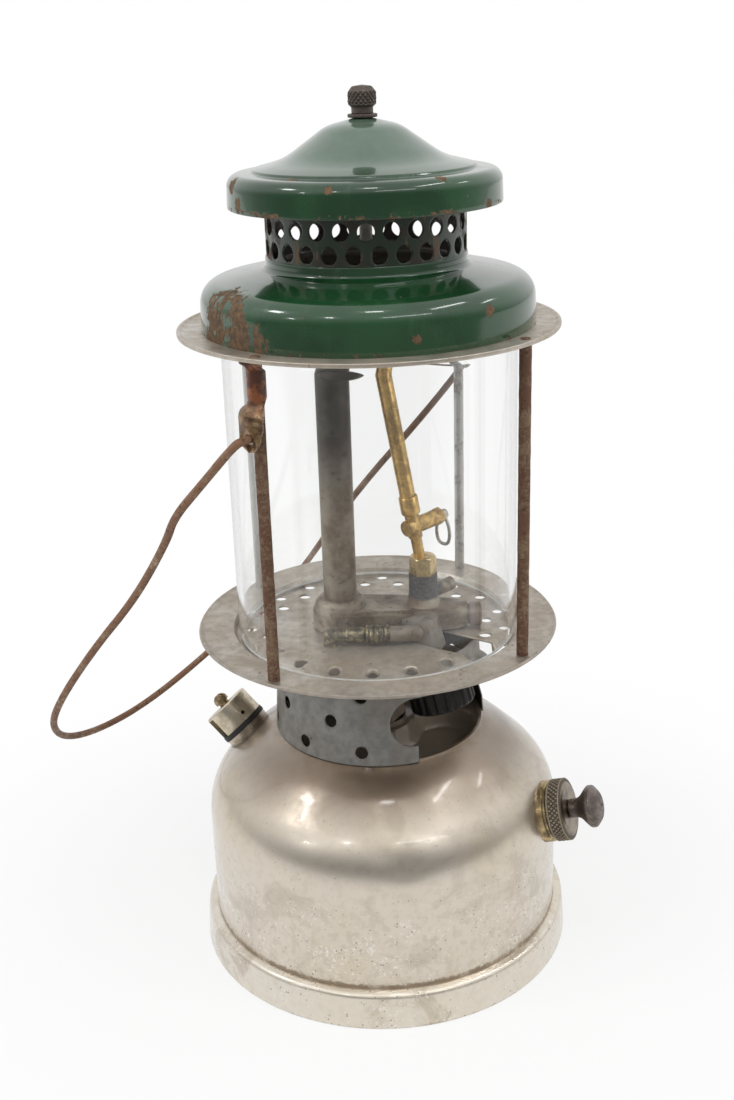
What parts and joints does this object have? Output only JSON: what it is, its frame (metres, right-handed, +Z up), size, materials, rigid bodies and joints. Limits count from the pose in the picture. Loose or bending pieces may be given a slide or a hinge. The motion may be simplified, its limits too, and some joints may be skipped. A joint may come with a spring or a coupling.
{
  "type": "kerosene pressure lantern",
  "caption": "Two-mantle kerosene pressure lantern: brass fount with pump and filler, perforated collar, four-post frame, glass globe, green enamelled hood and wire bail.",
  "frame": {"origin": "middle of the foot band's rim, on the surface that the lantern stands on", "axes": "+Z up, +X towards the pump side, +Y towards the back"},
  "size_m": [0.2405, 0.2024, 0.3547],
  "materials": {
    "worn_nickel": "worn nickel over brass, satin, scratched and pitted",
    "raw_brass": "bare tarnished brass",
    "galvanised": "dull plated sheet steel with stains",
    "rusty_steel": "rusty brown steel wire and rod",
    "bare_steel": "dull grey steel",
    "burnt_steel": "heat-stained grey-brown metal",
    "green_enamel": "glossy dark green porcelain enamel with brown chips",
    "clear_glass": "clear lamp glass",
    "black_composition": "black moulded composition",
    "dark_knurled": "darkened knurled metal",
    "black_rubber": "black rubber gasket",
    "leather": "oiled pump leather"
  },
  "bodies": {
    "lantern": {"fount_shell": "worn_nickel", "fount_bottom": "raw_brass", "foot_band": "worn_nickel", "filler_bung": "raw_brass", "pump_bung": "raw_brass", "pump_barrel": "raw_brass", "pump_check_valve": "raw_brass", "pump_cap": "dark_knurled", "valve_bung": "worn_nickel", "fuel_column": "burnt_steel", "fuel_pickup_tube": "raw_brass", "pickup_strainer": "raw_brass", "valve_bonnet": "burnt_steel", "collar": "galvanised", "frame_plate": "galvanised", "top_ring": "galvanised", "post_front_left": "rusty_steel", "post_front_right": "rusty_steel", "post_back_right": "bare_steel", "post_back_left": "bare_steel", "bail_ear_front": "rusty_steel", "bail_ear_back": "bare_steel", "centre_stud": "bare_steel", "burner_casting": "burnt_steel", "casting_screws": "bare_steel", "cleanout_plug": "burnt_steel", "valve_spigot": "burnt_steel", "line_packing_nut": "raw_brass", "line_elbow": "burnt_steel", "mixing_tube": "burnt_steel", "burner_manifold": "burnt_steel", "burner_cap_front": "burnt_steel", "burner_cap_back": "burnt_steel", "vaporiser_tube": "burnt_steel", "generator_head": "raw_brass", "generator_tube": "raw_brass", "generator_sleeve": "bare_steel", "cleaner_block": "burnt_steel", "cleaner_gland_nut": "bare_steel", "coupling_nut": "raw_brass", "gas_tip": "raw_brass"},
    "bail": {"bail": "rusty_steel"},
    "globe": {"globe": "clear_glass"},
    "ventilator": {"hood_dome": "green_enamel", "hood_neck": "green_enamel", "hood_hat": "green_enamel"},
    "nut_washer": {"nut_washer": "dark_knurled"},
    "ball_nut": {"ball_nut": "dark_knurled"},
    "pump_plunger": {"pump_rod": "bare_steel", "pump_knob": "dark_knurled", "pump_leather": "leather", "pump_leather_washer": "bare_steel"},
    "filler_gasket": {"filler_gasket": "black_rubber"},
    "filler_cap": {"filler_cap": "worn_nickel"},
    "filler_vent_screw": {"filler_vent_screw": "raw_brass"},
    "valve_wheel": {"valve_wheel": "black_composition", "valve_stem": "bare_steel"},
    "valve_needle": {"valve_needle": "bare_steel"},
    "cleaner_lever": {"cleaner_lever": "bare_steel"},
    "cleaning_needle": {"cleaning_needle": "bare_steel"}
  },
  "joints": [
    {"name": "bail_swing", "type": "hinge", "parent": "lantern", "child": "bail", "pos_m": [0, 0, 0.2403], "axis": [0.5793, 0.8151, 0], "range_deg": [-20, 299]},
    {"name": "ventilator_lift", "type": "slide", "parent": "lantern", "child": "ventilator", "axis": [0, 0, 1], "range_m": [0, 0.13]},
    {"name": "globe_lift", "type": "slide", "parent": "lantern", "child": "globe", "axis": [0, 0, 1], "range_m": [0, 0.13]},
    {"name": "nut_washer_rise", "type": "slide", "parent": "ventilator", "child": "nut_washer", "axis": [0, 0, 1], "range_m": [0, 0.006]},
    {"name": "ball_nut_turn", "type": "hinge", "parent": "nut_washer", "child": "ball_nut", "pos_m": [0, 0, 0.35], "axis": [0, 0, 1], "range_deg": [0, 1980]},
    {"name": "pump_stroke", "type": "slide", "parent": "lantern", "child": "pump_plunger", "axis": [0.9011, -0.3262, 0.2857], "range_m": [0, 0.042]},
    {"name": "filler_gasket_rise", "type": "slide", "parent": "lantern", "child": "filler_gasket", "axis": [-0.6686, 0.2302, 0.7071], "range_m": [0, 0.0061]},
    {"name": "filler_cap_turn", "type": "hinge", "parent": "filler_gasket", "child": "filler_cap", "pos_m": [-0.05919, 0.02038, 0.0844], "axis": [-0.6686, 0.2302, 0.7071], "range_deg": [0, 1440]},
    {"name": "vent_screw_turn", "type": "hinge", "parent": "filler_cap", "child": "filler_vent_screw", "pos_m": [-0.05919, 0.02038, 0.0844], "axis": [-0.6686, 0.2302, 0.7071], "range_deg": [0, 720]},
    {"name": "valve_turn", "type": "hinge", "parent": "lantern", "child": "valve_wheel", "pos_m": [0.02645, -0.01784, 0.1125], "axis": [-0.2424, 0.1635, 0.9563], "range_deg": [0, 540]},
    {"name": "valve_needle_draw", "type": "slide", "parent": "lantern", "child": "valve_needle", "axis": [0.2424, -0.1635, -0.9563], "range_m": [0, 0.0013]},
    {"name": "cleaner_turn", "type": "hinge", "parent": "lantern", "child": "cleaner_lever", "pos_m": [0.01576, -0.00115, 0.18521], "axis": [0.713, 0.7007, 0.0262], "range_deg": [0, 90]},
    {"name": "cleaning_needle_push", "type": "slide", "parent": "lantern", "child": "cleaning_needle", "axis": [0.1677, -0.017, -0.9857], "range_m": [0, 0.0016]}
  ],
  "couplings": [
    {"joint": "globe_lift", "follows": "ventilator_lift", "ratio": 1},
    {"joint": "nut_washer_rise", "follows": "ball_nut_turn", "m_per_rad": 0.0001687},
    {"joint": "filler_gasket_rise", "follows": "filler_cap_turn", "m_per_rad": 0.00023873},
    {"joint": "valve_needle_draw", "follows": "valve_turn", "m_per_rad": 0.00012732},
    {"joint": "cleaning_needle_push", "follows": "cleaner_turn", "m_per_rad": 0.00095493}
  ]
}
